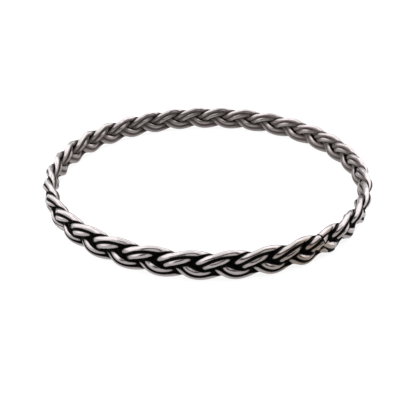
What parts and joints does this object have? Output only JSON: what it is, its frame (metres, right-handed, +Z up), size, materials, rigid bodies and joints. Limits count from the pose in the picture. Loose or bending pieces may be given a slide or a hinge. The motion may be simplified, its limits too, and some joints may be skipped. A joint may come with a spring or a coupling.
{
  "type": "bangle",
  "caption": "Closed silver bangle: a flat braid of paired round wires, bent round and soldered end to end, with blackened recesses.",
  "frame": {"origin": "centre of the ring, on the surface that the bangle lies on", "axes": "+Z up along the ring's axis; +X to the right in the picture's view and +Y away from the viewer"},
  "size_m": [0.0707, 0.0704, 0.0056],
  "materials": {
    "silver": "drawn silver wire, polished on its crests and blackened in the recesses",
    "solder": "silver solder, filed and polished, with small dark pits"
  },
  "bodies": {
    "root": {"strand_a": "silver", "strand_b": "silver", "strand_c": "silver", "solder_join": "solder"}
  },
  "joints": []
}
